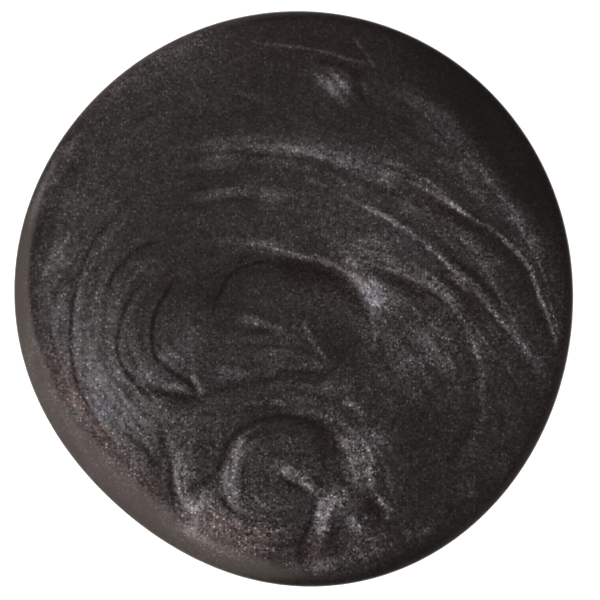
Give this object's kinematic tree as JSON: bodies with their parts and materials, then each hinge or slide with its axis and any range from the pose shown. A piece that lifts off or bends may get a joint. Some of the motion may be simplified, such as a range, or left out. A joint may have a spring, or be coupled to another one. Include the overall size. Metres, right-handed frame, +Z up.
{
  "type": "ink stick",
  "caption": "Small round ink cake of dark pearlescent ink, with a marbled, polished face and a flat foot to rest on.",
  "frame": {"origin": "middle of the cake's box, on the flat resting face", "axes": "+Z up out of the marbled face, +Y along the cake's slightly longer diameter"},
  "size_m": [0.0388, 0.04, 0.009],
  "materials": {
    "base_ink": "polished soot-black ink with sparse fine glitter",
    "face_ink": "polished charcoal ink, evenly filled with fine mica pearl",
    "dark_pearl_ink": "polished dark ink with thin mica pearl",
    "light_pearl_ink": "polished ink with dense silver-grey mica pearl",
    "white_pearl_ink": "polished ink, densest silver-white mica pearl",
    "copper_pearl_ink": "polished ink with copper-brown mica pearl"
  },
  "bodies": {
    "root": {"ink_base": "base_ink", "pearl_face": "face_ink", "centre_fold": "dark_pearl_ink", "left_fold": "face_ink", "knot_fold": "dark_pearl_ink", "right_fold": "light_pearl_ink", "neck_fold": "face_ink", "crescent_fold": "light_pearl_ink", "dark_eye": "base_ink", "sweep_veins": "white_pearl_ink", "crest_veins": "white_pearl_ink", "fold_edge_veins": "white_pearl_ink", "knot_veins": "white_pearl_ink", "copper_veins": "copper_pearl_ink", "top_wisps": "white_pearl_ink"}
  },
  "joints": []
}
